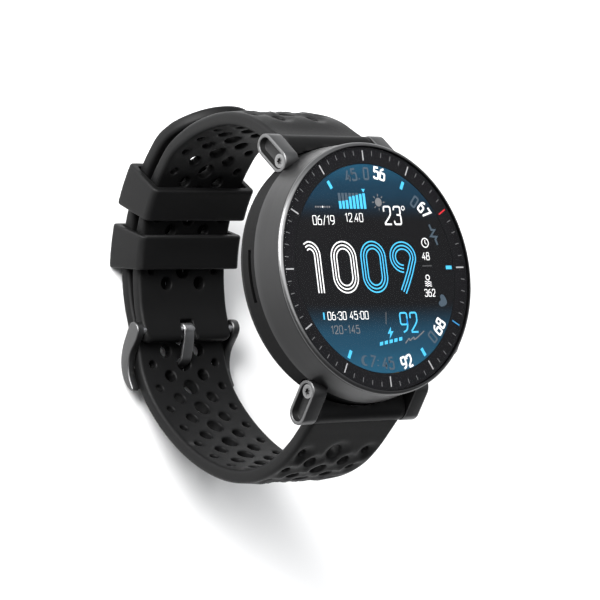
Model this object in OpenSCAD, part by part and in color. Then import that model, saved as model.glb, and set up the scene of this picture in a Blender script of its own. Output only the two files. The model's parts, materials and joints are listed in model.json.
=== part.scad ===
// GPS running watch, buckled shut as it is stored on a table.
// Millimetres. +Z leaves the display, +Y points to 12 o'clock, +X to 3 o'clock.
// Origin: on the table, under the middle of the whole watch.

/* [Case] */
// Widest radius of the case, at the foot of the metal band
case_r = 22.05; // [20:0.05:24]
// Height of the front ring's inner edge above the printed ticks
bezel_rise = 0.45; // [0.3:0.05:0.8]
// Depth from the printed ticks to the flat of the back
case_depth = 10.75; // [9.5:0.05:13]
// Depth at which the metal band ends and the polymer rear case starts
band_depth = 5.65; // [4.5:0.05:6.5]
// Radius of the space inside the case
cavity_r = 19.3; // [18:0.1:20]

/* [Display] */
// Radius of the display panel
display_r = 17.85; // [16:0.05:19]
// Radius of the cover glass
glass_r = 20.75; // [19:0.05:22]
// Thickness of the cover glass
glass_t = 0.6; // [0.5:0.05:1.2]

/* [Strap] */
// Width of both strap halves
strap_w = 20; // [18:1:22]
// Thickness of the strap
strap_t = 2.27; // [1.8:0.01:3]
// Air between the two strap layers where they overlap
layer_gap = 0.15; // [0.1:0.05:0.5]
// Distance between two tongue holes along the strap
hole_pitch = 4.95; // [4:0.05:6]
// Diameter of the large middle holes that take the tongue
hole_large_d = 3.0; // [2.5:0.1:3.5]
// Diameter of the paired holes
hole_medium_d = 2.3; // [1.5:0.1:3]
// Diameter of the small edge holes
hole_small_d = 1.5; // [1:0.1:2]
// Distance of the paired holes from the middle of the strap
hole_medium_x = 3.75; // [3:0.05:5]
// Distance of the edge holes from the middle of the strap
hole_small_x = 7.2; // [6:0.05:8]

/* [Lugs] */
// Inner face of each lug link, from the middle of the watch
lug_inner_x = 10.1; // [9.5:0.05:11.5]
// Thickness of each lug link
lug_t = 3.0; // [2:0.1:4]
// Radius of the rounded ends of each lug link
lug_r = 2.0; // [1.5:0.1:2.5]

/* [Buckle] */
// Thickness of the buckle's side arms
arm_t = 1.55; // [1:0.05:2]
// Width of the tongue
tongue_w = 2.3; // [1.8:0.1:3]
// Radius of the buckle's hinge bar
bar_r = 0.75; // [0.6:0.05:1]
// Gap between a moving shaft and its hole, on the radius
running_gap = 0.05; // [0.02:0.01:0.1]

/* [Keepers] */
// Length of each keeper along the strap, in degrees of the strap's bend
keeper_span = 12.4; // [8:0.1:13]
// Wall thickness of the keepers
keeper_t = 1.35; // [1:0.05:2]
// Free space between the keepers and the strap
keeper_gap = 0.2; // [0.1:0.05:0.4]
// Extra space between the two strap layers past the buckle
tail_lift = 1.0; // [0:0.1:1.2]

/* [Controls] */
// Angle of the crown above 3 o'clock
crown_angle = 30; // [0:1:60]
// Angle of the push button, below 3 o'clock
button_angle = -30; // [-60:1:0]
// Depth of both controls' axes below the ticks
control_depth = 3.6; // [3:0.1:4.2]
// Radius of the crown
crown_r = 1.75; // [1.5:0.05:1.8]
// Distance of the controls' outer faces from the middle of the case
control_reach = 23.15; // [22.5:0.05:24.5]

/* [Hidden] */
$fn = 48;

// placement of the tick plane's centre in the part's frame
place = [0, -1.385, 57.907];

// lug link ends, as (distance from the middle along Y, height)
lug_near = [19.55, -6.73];
lug_far = [22.8, -9.64];
strap_bar_r = 0.9;
// distance of the recess floor under both controls from the middle of the case
recess_floor = 20.4;

// the bend that both strap layers and the keepers share near the buckle
bend_c = [1.96, -21.7];
bend_r = 31.1;
layer_r = bend_r + strap_t + layer_gap;
keeper_in = bend_r - strap_t / 2 - 4 * keeper_gap;
keeper_out = layer_r + tail_lift + strap_t / 2 + keeper_gap;
upper_keeper_angle = -52.3;
lower_keeper_angle = -70.5;
keeper_half_w = strap_w / 2 + 0.25;

// the buckle's hinge axis and the side arm's outline, as (y, z)
hinge = [-2.0, -52.05];
arm_outline = [[-0.30, -52.35], [-0.45, -51.75], [-0.85, -51.25], [-1.45, -50.95],
    [-2.15, -50.92], [-2.85, -51.20], [-3.50, -51.72], [-4.30, -52.55], [-5.30, -53.58],
    [-6.50, -54.38], [-8.00, -54.90], [-9.50, -55.00], [-10.80, -54.75], [-12.00, -54.40],
    [-12.35, -54.60], [-12.30, -55.05], [-11.75, -55.75], [-11.00, -56.30], [-10.00, -56.72],
    [-8.60, -57.00], [-7.20, -56.98], [-5.60, -56.55], [-4.00, -55.80], [-2.50, -54.75],
    [-1.20, -53.70], [-0.55, -53.05]];
front_outline = [[-8.35, -55.95], [-9.60, -55.85], [-10.60, -55.62], [-11.40, -55.32],
    [-11.95, -55.35], [-11.75, -55.75], [-11.00, -56.30], [-10.00, -56.72],
    [-8.60, -57.00], [-8.20, -56.85], [-8.10, -56.30]];
// middle line of the tongue after its eye
tongue_line = [[-2.0, -51.22], [-3.2, -51.42], [-4.8, -52.00], [-6.2, -52.60], [-7.2, -53.15],
    [-7.75, -54.00], [-8.0, -55.00], [-8.2, -55.85], [-8.75, -56.50], [-9.8, -56.67], [-11.0, -56.60]];
tongue_t = 0.62;

// middle lines of the strap halves, from the lug bar, as (y, z)
upper_line = concat(
    [[23.3, -9.7], [25.1, -12.2], [27.5, -15.6], [29.4, -19.6], [30.4, -24.0],
     [30.5, -28.5], [29.9, -33.2]],
    [for (a = [-32:-8:-88]) bend_c + bend_r * [cos(a), sin(a)]],
    [[0.3, -52.72], [-1.9, -52.42], [-4.2, -52.12]]);
lower_line = concat(
    [[-23.3, -9.7], [-25.2, -12.3], [-27.9, -16.2], [-30.1, -21.0], [-31.1, -26.5],
     [-30.6, -32.0], [-28.9, -37.0], [-26.2, -41.8], [-22.6, -46.2], [-18.4, -50.0],
     [-13.9, -52.9], [-9.6, -54.45], [-5.6, -54.85]],
    [for (a = [-96:8:-32]) bend_c + (layer_r + tail_lift * min(1, (a + 96) / 24)) * [cos(a), sin(a)]],
    [for (p = [[32.0, -35.1], [33.0, -31.7]]) p + tail_lift * (p - bend_c) / norm(p - bend_c)]);
line_steps = 4;
tip_r = 10;

function blend(a, b, c, d, t) = 0.5 * (2 * b + (c - a) * t + (2 * a - 5 * b + 4 * c - d) * t * t
    + (3 * b - a - 3 * c + d) * t * t * t);
function smooth(p, n) = [for (i = [0:len(p) - 2]) for (k = [0:n - 1])
    blend(p[max(i - 1, 0)], p[i], p[i + 1], p[min(i + 2, len(p) - 1)], k / n), p[len(p) - 1]];
function unit(v) = v / norm(v);
function along(p, i) = unit(p[min(i + 1, len(p) - 1)] - p[max(i - 1, 0)]);
function side(p, i) = [-along(p, i)[1], along(p, i)[0]];
function run(p, i) = i == 0 ? 0 : run(p, i - 1) + norm(p[i] - p[i - 1]);
function ribbon(p, t0, t1) = concat(
    [for (i = [0:len(p) - 1]) p[i] + side(p, i) * t0 / 2],
    [for (i = [len(p) - 1:-1:0]) p[i] - side(p, i) * t1 / 2]);

upper_path = smooth(upper_line, line_steps);
lower_path = smooth(lower_line, line_steps);
upper_run = [for (i = [0:len(upper_path) - 1]) run(upper_path, i)];
lower_run = [for (i = [0:len(lower_path) - 1]) run(lower_path, i)];
lower_length = lower_run[len(lower_run) - 1];
function at(path, runs, s) = [for (k = [0:1]) lookup(s, [for (i = [0:len(path) - 1]) [runs[i], path[i][k]]])];

// colours
gunmetal = [0.30, 0.31, 0.32];
satin = [0.46, 0.46, 0.47];
rubber = [0.08, 0.08, 0.085];
polymer = [0.10, 0.10, 0.105];
steel = [0.62, 0.62, 0.64];
green = [0.05, 0.25, 0.12];
gold = [0.80, 0.65, 0.30];

// turns a solid drawn in the (y, z) outline plane so that its height runs along X
module along_x(x0, x1) {
    translate([x0, 0, 0]) rotate([90, 0, 90]) linear_extrude(x1 - x0) children();
}
// puts a solid drawn along +X at a control's angle and depth
module at_control(angle) {
    rotate([0, 0, angle]) translate([0, 0, -control_depth]) children();
}
// a round bar along X from x0 to x1 at (y, z)
module x_bar(x0, x1, p, r) {
    translate([x0, p[0], p[1]]) rotate([0, 90, 0]) cylinder(r = r, h = x1 - x0);
}
module ring(r0, r1, z0, z1, seg = 180) {
    translate([0, 0, z0]) difference() {
        cylinder(r = r1, h = z1 - z0, $fn = seg);
        translate([0, 0, -1]) cylinder(r = r0, h = z1 - z0 + 2, $fn = seg);
    }
}
module disc(r, z0, z1, seg = 180) {
    translate([0, 0, z0]) cylinder(r = r, h = z1 - z0, $fn = seg);
}
module rounded_block(x0, y0, x1, y1, z0, z1, r) {
    translate([0, 0, z0]) linear_extrude(z1 - z0) union() {
        translate([x0 + r, y0]) square([x1 - x0 - 2 * r, y1 - y0]);
        translate([x0, y0 + r]) square([x1 - x0, y1 - y0 - 2 * r]);
        for (x = [x0 + r, x1 - r]) for (y = [y0 + r, y1 - r]) translate([x, y]) circle(r = r);
    }
}
// a bar with round ends along X from x0 to x1, drawn between two points (y, z)
module link(x0, x1, a, b, r) {
    d = unit(b - a) * r;
    n = [-d[1], d[0]];
    union() {
        x_bar(x0, x1, a, r);
        x_bar(x0, x1, b, r);
        along_x(x0, x1) polygon([a + n, b + n, b - n, a - n]);
    }
}

// ---- case ----
module lug_pockets(clear) {
    for (sx = [0, 1]) mirror([sx, 0, 0]) for (sy = [0, 1]) mirror([0, sy, 0])
        link(lug_inner_x - 0.1, lug_inner_x + lug_t + 1, lug_near, lug_far, lug_r + clear);
}
module control_cuts() {
    at_control(crown_angle) rotate([0, 90, 0]) {
        cylinder(r = 0.8 + running_gap, h = 30);
        translate([0, 0, recess_floor]) cylinder(r = crown_r + 0.1, h = 4);
    }
    at_control(button_angle) {
        rotate([0, 90, 0]) cylinder(r = 0.8 + running_gap, h = 30);
        link(recess_floor, recess_floor + 4, [-2.6, 0], [2.6, 0], 1.3);
    }
}
module bezel_band() color(gunmetal) difference() {
    rotate_extrude($fn = 180) polygon([[20.85, bezel_rise], [21.2, bezel_rise - 0.04], [21.5, 0.1],
        [21.6, -0.3], [21.68, -1.6], [21.8, -3.2], [21.95, -4.8], [case_r, -band_depth],
        [20.6, -band_depth], [20.6, -4.6], [19.4, -4.6], [19.4, -1.1], [20.85, -1.1]]);
    control_cuts();
    for (sx = [0, 1]) mirror([sx, 0, 0]) for (sy = [0, 1]) mirror([0, sy, 0])
        x_bar(lug_inner_x - 0.1, lug_inner_x + lug_t + 1, lug_near, lug_r + 0.1);
}
module rear_case() color(polymer) difference() {
    union() {
        rotate_extrude($fn = 180) polygon([[cavity_r, -9.7], [cavity_r, -5.2], [20.5, -5.2], [20.5, -5.7],
            [22.0, -5.7], [22.0, -8.7], [21.7, -9.5], [21.0, -10.2], [19.9, -10.65], [19.2, -case_depth],
            [14.95, -case_depth], [14.95, -10.15], [13.0, -10.15], [13.0, -9.7]]);
    }
    // sound slot at 9 o'clock
    rotate([0, 0, 168.3]) translate([0, 0, -7.25]) rotate_extrude(angle = 23.4, $fn = 180)
        translate([18, 0]) square([6, 0.7]);
    lug_pockets(0.1);
    for (sx = [0, 1]) mirror([sx, 0, 0]) for (sy = [0, 1]) mirror([0, sy, 0])
        x_bar(lug_inner_x - 2, lug_inner_x + 1, lug_near, 0.6);
    for (a = [45:90:315]) rotate([0, 0, a]) translate([13.9, 0, -11]) cylinder(r = 0.42, h = 2);
}
module cover_glass() color([0.55, 0.60, 0.65, 0.3]) rotate_extrude($fn = 180)
    polygon([[0, 0.03], [glass_r, 0.03], [glass_r, 0.03 + glass_t - 0.25],
        [glass_r - 0.3, 0.03 + glass_t], [0, 0.03 + glass_t]]);
module glass_gasket() color(polymer) ring(19.5, 20.8, -1.09, -0.90);
module chapter_ring() color([0.11, 0.11, 0.12]) ring(display_r + 0.1, 20.75, -0.89, 0.0);
module display_panel() color([0.04, 0.05, 0.07]) disc(display_r, -0.85, -0.06);
module display_flex() color(gold) along_x(-3, 3)
    polygon([[-17.6, -0.9], [-18.6, -0.9], [-18.6, -2.52], [-16.5, -2.52], [-16.5, -2.4],
        [-18.48, -2.4], [-18.48, -1.02], [-17.6, -1.02]]);
module gnss_antenna() color(gold) difference() {
    ring(17.9, 19.2, -1.28, -1.0);
    translate([0, -18.5, -1.2]) cube([9, 4, 2], center = true);
}
module inner_frame() color([0.20, 0.20, 0.21]) difference() {
    union() {
        disc(19.2, -1.9, -1.35);
        ring(18.3, 19.2, -4.5, -1.9);
    }
    translate([0, -18.2, -2]) cube([8, 2.6, 4], center = true);
    for (a = [crown_angle, button_angle]) rotate([0, 0, a]) translate([18, 0, -4.2]) cube([6, 5, 4.2], center = true);
}
module main_board() color(green) difference() {
    disc(17.9, -3.1, -2.55);
    translate([0, -19, -3]) cube([8, 3.6, 4], center = true);
    for (a = [crown_angle, button_angle]) rotate([0, 0, a]) translate([18, 0, -3]) cube([4.2, 6, 4], center = true);
}
module processor_shield() color(steel) rounded_block(-8, -1, 4, 9, -4.1, -3.11, 0.5);
module radio_chips() color([0.12, 0.12, 0.13]) {
    rounded_block(6, 2, 10, 6, -3.9, -3.11, 0.2);
    rounded_block(6, -5, 9, -2, -3.8, -3.11, 0.2);
    rounded_block(-8, -8, -3, -4, -3.9, -3.11, 0.2);
    rounded_block(-1, -8, 3, -5, -3.7, -3.11, 0.2);
}
module battery() color([0.55, 0.56, 0.58]) rounded_block(-11, -11, 12, 11, -8.3, -4.2, 1.5);
module vibration_motor() color(steel) translate([2, -15.1, 0]) disc(3.6, -8.2, -5.6, 64);
module speaker() color([0.15, 0.15, 0.16]) rounded_block(-17.6, -5.2, -11.5, 5.2, -8.6, -5.4, 0.6);
module speaker_mesh() color([0.05, 0.05, 0.05]) rotate([0, 0, 169]) translate([0, 0, -7.22])
    rotate_extrude(angle = 22, $fn = 180) translate([20.6, 0]) square([0.25, 0.64]);
module case_seal() color(rubber) translate([0, 0, -4.9]) rotate_extrude($fn = 180)
    translate([20.0, 0]) circle(r = 0.29, $fn = 24);
module back_cover() color([0.13, 0.13, 0.14]) difference() {
    union() {
        disc(14.9, -case_depth, -10.16);
        disc(12.95, -10.16, -9.42);
    }
    disc(7.55, -12, -9);
    for (a = [45:90:315]) rotate([0, 0, a]) translate([13.9, 0, -11]) {
        cylinder(r = 0.46, h = 2);
        cylinder(r = 0.95, h = 0.6);
    }
    for (x = [-3.6, -1.2, 1.2, 3.6]) translate([x, -10.4, -11]) cylinder(r = 0.75, h = 2);
}
module back_screws() color(steel) for (a = [45:90:315]) rotate([0, 0, a]) translate([13.9, 0, -10.7])
    difference() {
        union() {
            cylinder(r = 0.85, h = 0.28);
            cylinder(r = 0.41, h = 0.9);
        }
        for (b = [0, 90]) rotate([0, 0, b]) translate([-0.5, -0.1, -0.1]) cube([1.0, 0.2, 0.25]);
    }
module sensor_window() color([0.05, 0.05, 0.06, 0.6]) rotate_extrude($fn = 180)
    polygon([[0, -10.15], [7.5, -10.15], [7.5, -10.75], [7.1, -11.05], [0, -11.05]]);
module sensor_board() color(green) disc(9.5, -9.4, -8.9, 96);
module sensor_leds() color([0.85, 0.9, 0.85]) for (a = [0:90:270]) rotate([0, 0, a])
    translate([2.2, 0, -9.7]) cube([1.2, 1.2, 0.56], center = true);
module photodiodes() color([0.1, 0.1, 0.12]) for (a = [45:90:315]) rotate([0, 0, a])
    translate([4.9, 0, -9.65]) cube([1.8, 1.8, 0.46], center = true);
module charging_contacts() color(gold) for (x = [-3.6, -1.2, 1.2, 3.6]) translate([x, -10.4, -10.8])
    cylinder(r = 0.7, h = 1.3);

// ---- controls ----
module crown_cap() color(gunmetal) at_control(crown_angle) rotate([0, 90, 0]) difference() {
    rotate_extrude() polygon([[0.8, 21.3], [crown_r, 21.3], [crown_r, control_reach - 0.25],
        [crown_r - 0.25, control_reach], [0, control_reach], [0, 22.3], [0.8, 22.3]]);
    for (a = [0:20:340]) rotate([0, 0, a]) translate([crown_r + 0.12, 0, 21.9]) cylinder(r = 0.25, h = 3, $fn = 16);
}
module crown_stem() color(steel) at_control(crown_angle) rotate([0, 90, 0]) rotate_extrude()
    polygon([[0, 17.9], [0.6, 17.9], [0.8, 18.1], [0.8, 19.0], [0.5, 19.0], [0.5, 19.35], [0.8, 19.35],
        [0.8, 19.6], [0.55, 19.6], [0.55, 20.1], [0.8, 20.1], [0.8, 22.29], [0, 22.29]]);
module crown_spring() color(steel) at_control(crown_angle) rotate([0, 90, 0])
    translate([0, 0, recess_floor + 0.01]) difference() {
        cylinder(r = 1.5, h = 0.45);
        translate([0, 0, -1]) cylinder(r = 1.0, h = 3);
    }
module crown_seal() color(rubber) at_control(crown_angle) rotate([0, 90, 0]) translate([0, 0, 19.85])
    rotate_extrude() translate([0.7, 0]) circle(r = 0.13, $fn = 20);
module crown_clip() color(steel) at_control(crown_angle) rotate([0, 90, 0]) translate([0, 0, 19.05])
    difference() {
        cylinder(r = 1.25, h = 0.25);
        translate([0, 0, -1]) cylinder(r = 0.53, h = 3);
        translate([0, -0.3, -1]) cube([3, 0.6, 3]);
    }
module crown_encoder() color([0.12, 0.12, 0.13]) at_control(crown_angle)
    translate([16.1, -1.6, -0.8]) cube([1.2, 3.2, 2.4]);
module button_cap() color(gunmetal) at_control(button_angle) difference() {
    link(21.3, control_reach, [-2.6, 0], [2.6, 0], 1.2);
    translate([21, 0, 0]) rotate([0, 90, 0]) cylinder(r = 0.8, h = 1.3);
}
module button_stem() color(steel) at_control(button_angle) rotate([0, 90, 0]) rotate_extrude()
    polygon([[0, 17.9], [0.6, 17.9], [0.8, 18.1], [0.8, 19.0], [0.5, 19.0], [0.5, 19.35], [0.8, 19.35],
        [0.8, 19.6], [0.55, 19.6], [0.55, 20.1], [0.8, 20.1], [0.8, 22.29], [0, 22.29]]);
module button_spring() color(steel) at_control(button_angle) rotate([0, 90, 0])
    translate([0, 0, recess_floor + 0.01]) difference() {
        cylinder(r = 1.25, h = 0.45);
        translate([0, 0, -1]) cylinder(r = 1.0, h = 3);
    }
module button_seal() color(rubber) at_control(button_angle) rotate([0, 90, 0]) translate([0, 0, 19.85])
    rotate_extrude() translate([0.7, 0]) circle(r = 0.13, $fn = 20);
module button_clip() color(steel) at_control(button_angle) rotate([0, 90, 0]) translate([0, 0, 19.05])
    difference() {
        cylinder(r = 1.25, h = 0.25);
        translate([0, 0, -1]) cylinder(r = 0.53, h = 3);
        translate([0, -0.3, -1]) cube([3, 0.6, 3]);
    }
module button_switch() color([0.12, 0.12, 0.13]) at_control(button_angle)
    translate([16.1, -1.6, -0.8]) cube([1.2, 3.2, 2.4]);

// ---- lugs ----
module lug() color(satin) difference() {
    link(lug_inner_x, lug_inner_x + lug_t, lug_near, lug_far, lug_r);
    link(lug_inner_x + lug_t - 0.9, lug_inner_x + lug_t + 1, lug_near, lug_far, lug_r - 0.65);
    x_bar(0, lug_inner_x + lug_t + 1, lug_near, 0.62);
    x_bar(0, lug_inner_x + 1.6, lug_far, strap_bar_r + running_gap);
}
module upper_right_lug() lug();
module upper_left_lug() mirror([1, 0, 0]) lug();
module lower_right_lug() mirror([0, 1, 0]) lug();
module lower_left_lug() mirror([1, 0, 0]) mirror([0, 1, 0]) lug();
module lug_screws() color(steel) for (sx = [0, 1]) mirror([sx, 0, 0]) for (sy = [0, 1]) mirror([0, sy, 0])
    difference() {
        union() {
            x_bar(lug_inner_x - 0.9, lug_inner_x + lug_t - 0.8, lug_near, 0.59);
            x_bar(lug_inner_x + lug_t - 0.89, lug_inner_x + lug_t - 0.3, lug_near, 1.2);
        }
        translate([lug_inner_x + lug_t - 0.7, lug_near[0], lug_near[1]]) rotate([0, 90, 0]) {
            cylinder(r = 0.42, h = 1);
            for (a = [0:60:300]) rotate([0, 0, a]) translate([0.46, 0, 0]) cylinder(r = 0.14, h = 1, $fn = 16);
        }
    }
module strap_bar() color(steel)
    x_bar(-lug_inner_x - 1.5, lug_inner_x + 1.5, lug_far, strap_bar_r);
module upper_strap_bar() strap_bar();
module lower_strap_bar() mirror([0, 1, 0]) strap_bar();

// ---- strap ----
// keeps the strap ends clear of the round case
module case_clearance() {
    rotate_extrude($fn = 180) polygon([[0, 1], [22.25, 1], [22.25, -8.75], [21.9, -9.65],
        [21.15, -10.4], [20.0, -10.9], [0, -11]]);
}
module hole(path, runs, s, x, d) {
    p = at(path, runs, s);
    q = unit(at(path, runs, s + 0.4) - at(path, runs, s - 0.4));
    translate([x, p[0], p[1]]) rotate([atan2(q[1], q[0]), 0, 0])
        translate([0, 0, -3]) cylinder(r = d / 2, h = 6, $fn = 24);
}
module holes(path, runs, first_large, large_rows, first_pair, pair_rows) {
    for (i = [0:large_rows - 1]) {
        hole(path, runs, first_large + i * hole_pitch, 0, hole_large_d);
        for (sx = [-1, 1]) hole(path, runs, first_large + i * hole_pitch, sx * hole_small_x, hole_small_d);
    }
    for (i = [0:pair_rows - 1]) for (sx = [-1, 1])
        hole(path, runs, first_pair + i * hole_pitch, sx * hole_medium_x, hole_medium_d);
}
// the strap's end between the lugs, which the case's outline then trims
module strap_end() {
    translate([-strap_w / 2, 19, lug_far[1] - 1.5]) cube([strap_w, lug_far[0] - 19, 2.9]);
}
module upper_strap() color(rubber) difference() {
    union() {
        along_x(-strap_w / 2, strap_w / 2) polygon(ribbon(upper_path, strap_t, strap_t));
        x_bar(-strap_w / 2, strap_w / 2, lug_far, 1.9);
        strap_end();
    }
    case_clearance();
    x_bar(-strap_w, strap_w, lug_far, strap_bar_r + running_gap);
    x_bar(-strap_w, strap_w, hinge, bar_r + running_gap);
    translate([-1.4, -6, -56]) cube([2.8, 5.65, 6]);
    holes(upper_path, upper_run, 10.65, 10, 8.15, 11);
}
module lower_strap() color(rubber) difference() {
    union() {
        along_x(-strap_w / 2, strap_w / 2) polygon(ribbon(lower_path, strap_t, strap_t));
        x_bar(-strap_w / 2, strap_w / 2, [-lug_far[0], lug_far[1]], 1.9);
        mirror([0, 1, 0]) strap_end();
    }
    case_clearance();
    x_bar(-strap_w, strap_w, [-lug_far[0], lug_far[1]], strap_bar_r + running_gap);
    holes(lower_path, lower_run, 8.6, 20, 11.1, 20);
    tip = at(lower_path, lower_run, lower_length - tip_r);
    dir = unit(at(lower_path, lower_run, lower_length - tip_r + 5) - tip);
    translate([0, tip[0], tip[1]]) rotate([atan2(dir[1], dir[0]), 0, 0]) difference() {
        translate([-12, 0, -4]) cube([24, 16, 8]);
        translate([0, 0, -5]) cylinder(r = tip_r, h = 10, $fn = 90);
    }
}

// ---- buckle and keepers ----
module buckle_frame() color(satin) difference() {
    union() {
        for (sx = [0, 1]) mirror([sx, 0, 0])
            along_x(strap_w / 2 + 0.3, strap_w / 2 + 0.3 + arm_t) polygon(arm_outline);
        along_x(-strap_w / 2 - 0.31, strap_w / 2 + 0.31) polygon(front_outline);
    }
    x_bar(-strap_w / 2 - 1.4, strap_w / 2 + 1.4, hinge, bar_r + running_gap);
    translate([-1.45, -13, -57.5]) cube([2.9, 6, 1.33]);
    translate([-1.45, -9.1, -57.5]) cube([2.9, 2.4, 3]);
}
module buckle_tongue() color(satin) difference() {
    union() {
        x_bar(-tongue_w / 2, tongue_w / 2, hinge, 1.2);
        along_x(-tongue_w / 2, tongue_w / 2)
            polygon(ribbon(smooth(tongue_line, 3), tongue_t, tongue_t));
    }
    x_bar(-3, 3, hinge, bar_r + running_gap);
}
module buckle_bar() color(steel) x_bar(-strap_w / 2 - 1.3, strap_w / 2 + 1.3, hinge, bar_r);
module keeper_outline(r0, r1, half, c) {
    union() {
        translate([r0 + c, -half]) square([r1 - r0 - 2 * c, 2 * half]);
        translate([r0, -half + c]) square([r1 - r0, 2 * (half - c)]);
        for (r = [r0 + c, r1 - c]) for (x = [-half + c, half - c]) translate([r, x]) circle(r = c);
    }
}
module keeper(angle) color(rubber) translate([0, bend_c[0], bend_c[1]]) rotate([90, 0, 90])
    rotate([0, 0, angle - keeper_span / 2]) rotate_extrude(angle = keeper_span, $fn = 180) difference() {
        keeper_outline(keeper_in - keeper_t, keeper_out + keeper_t, keeper_half_w + keeper_t, 1.2);
        keeper_outline(keeper_in, keeper_out, keeper_half_w, 0.4);
    }
module upper_keeper() keeper(upper_keeper_angle);
module lower_keeper() keeper(lower_keeper_angle);

translate(place) {
    bezel_band();
    rear_case();
    cover_glass();
    glass_gasket();
    chapter_ring();
    display_panel();
    display_flex();
    gnss_antenna();
    inner_frame();
    main_board();
    processor_shield();
    radio_chips();
    battery();
    vibration_motor();
    speaker();
    speaker_mesh();
    case_seal();
    back_cover();
    back_screws();
    sensor_window();
    sensor_board();
    sensor_leds();
    photodiodes();
    charging_contacts();
    crown_cap();
    crown_stem();
    crown_spring();
    crown_seal();
    crown_clip();
    crown_encoder();
    button_cap();
    button_stem();
    button_spring();
    button_seal();
    button_clip();
    button_switch();
    upper_left_lug();
    upper_right_lug();
    lower_left_lug();
    lower_right_lug();
    lug_screws();
    upper_strap_bar();
    lower_strap_bar();
    upper_strap();
    lower_strap();
    buckle_frame();
    buckle_tongue();
    buckle_bar();
    upper_keeper();
    lower_keeper();
}
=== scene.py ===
import json
import math

import bpy
import numpy as np
from mathutils import Matrix, Vector, geometry


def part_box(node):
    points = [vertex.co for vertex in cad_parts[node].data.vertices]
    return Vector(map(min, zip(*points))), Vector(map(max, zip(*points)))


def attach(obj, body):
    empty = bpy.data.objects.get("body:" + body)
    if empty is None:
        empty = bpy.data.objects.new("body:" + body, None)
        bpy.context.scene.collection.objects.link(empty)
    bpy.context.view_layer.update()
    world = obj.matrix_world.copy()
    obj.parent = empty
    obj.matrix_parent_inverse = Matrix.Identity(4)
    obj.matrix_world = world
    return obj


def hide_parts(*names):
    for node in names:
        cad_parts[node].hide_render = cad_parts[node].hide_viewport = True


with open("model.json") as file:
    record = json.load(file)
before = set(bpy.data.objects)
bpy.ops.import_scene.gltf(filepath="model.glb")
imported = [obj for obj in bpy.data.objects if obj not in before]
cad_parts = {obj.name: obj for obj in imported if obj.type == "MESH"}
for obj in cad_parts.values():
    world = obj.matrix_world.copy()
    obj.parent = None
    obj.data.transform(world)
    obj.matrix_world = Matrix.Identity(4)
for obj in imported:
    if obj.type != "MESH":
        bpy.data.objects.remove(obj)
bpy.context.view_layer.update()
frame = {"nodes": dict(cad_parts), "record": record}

# Lengths below are in millimetres from the middle of the printed tick ring:
# +X towards 3 o'clock, +Y towards 12 o'clock, +Z out of the display.
MM = 0.001
dial_lo, dial_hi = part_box("chapter_ring")
DIAL = np.array([(dial_lo.x + dial_hi.x) / 2, (dial_lo.y + dial_hi.y) / 2, dial_hi.z])

# strap; holes are (distance from the middle line, radius)
STRAP_W = 20.0
STRAP_T = 2.27
HALF_W = STRAP_W / 2
LAYER_GAP = 0.15
HOLE_PITCH = 4.95
HOLE_LARGE = (0.0, 1.5)
HOLE_MEDIUM = (3.75, 1.15)
HOLE_SMALL = (7.2, 0.75)
HOLE_FILLET = 0.3
DISH_DEPTH = 0.5
DISH_REACH = 1.3
CROWN = 0.6
CROWN_FADE = 6.0
TAIL_LIFT = 1.0
TIP_STRETCH = 1.17
TIP_R = 9.9
EDGE_ROUND = 0.75
GRID_PITCH = 0.62
BEND_C = np.array([1.96, -21.7])
BEND_R = 31.1
LAYER_R = BEND_R + STRAP_T + LAYER_GAP
EYE_R = 1.9
END_REACH = 1.9

# keepers
KEEPER_T = 1.35
KEEPER_GAP_IN = 0.8
KEEPER_GAP_OUT = 0.2
KEEPER_GAP_SIDE = 0.25
KEEPER_SPAN = 12.4
KEEPER_ANGLES = {"upper_keeper": -52.3, "lower_keeper": -70.5}

# lugs and buckle
LUG_X = 10.1
LUG_T = 3.0
LUG_R = 2.0
LUG_EDGE = 0.22
LUG_RIM = 0.65
LUG_POCKET = 1.3
LUG_NEAR = np.array([19.55, -6.73])
LUG_FAR = np.array([22.8, -9.64])
HINGE = np.array([-2.0, -52.05])
ARM_GAP = 0.3
ARM_T = 1.55
TONGUE_W = 2.3
TONGUE_T = 0.62
GROOVE_GAP = 0.3

# dial
TICK_OUT = 20.18
HOUR_IN = 18.43
MINUTE_IN = 19.35
GRAPHIC_Z = -0.045
PRINT_Z = 0.012
ADVANCE_MOST = 0.86
NARROW = 0.86


# ---- small helpers ----

def unit(v):
    v = np.asarray(v, float)
    return v / np.linalg.norm(v)


def placed(name, data):
    """A new object that holds the data, put into the scene."""
    obj = bpy.data.objects.new(name, data)
    bpy.context.scene.collection.objects.link(obj)
    return obj


def add_mesh(name, points, faces, mat, body="watch", stands_for=(), sharp=35.0):
    """A named piece from points in millimetres about the dial, shaded smooth below the sharp angle."""
    mesh = bpy.data.meshes.new(name)
    places = DIAL + np.asarray(points, float) * MM
    mesh.from_pydata(places.tolist(), [], [list(f) for f in faces])
    mesh.validate()
    mesh.polygons.foreach_set("use_smooth", [True] * len(mesh.polygons))
    mesh.set_sharp_from_angle(angle=math.radians(sharp))
    mesh.materials.append(mat)
    mesh.update()
    obj = placed(name, mesh)
    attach(obj, body)
    if stands_for:
        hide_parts(*stands_for)
    return obj


class Build:
    """Collects points and faces of one piece."""

    def __init__(self):
        self.points = []
        self.faces = []

    def add(self, points):
        first = len(self.points)
        self.points.extend([tuple(p) for p in points])
        return list(range(first, first + len(points)))

    def bridge(self, a, b, closed=True):
        n = len(a)
        for i in range(n if closed else n - 1):
            j = (i + 1) % n
            self.faces.append((a[i], a[j], b[j], b[i]))

    def stack(self, rows, closed=True, cap=True):
        loops = [self.add(r) for r in rows]
        for a, b in zip(loops, loops[1:]):
            self.bridge(a, b, closed)
        if cap:
            self.faces.append(tuple(reversed(loops[0])))
            self.faces.append(tuple(loops[-1]))
        return loops


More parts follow.
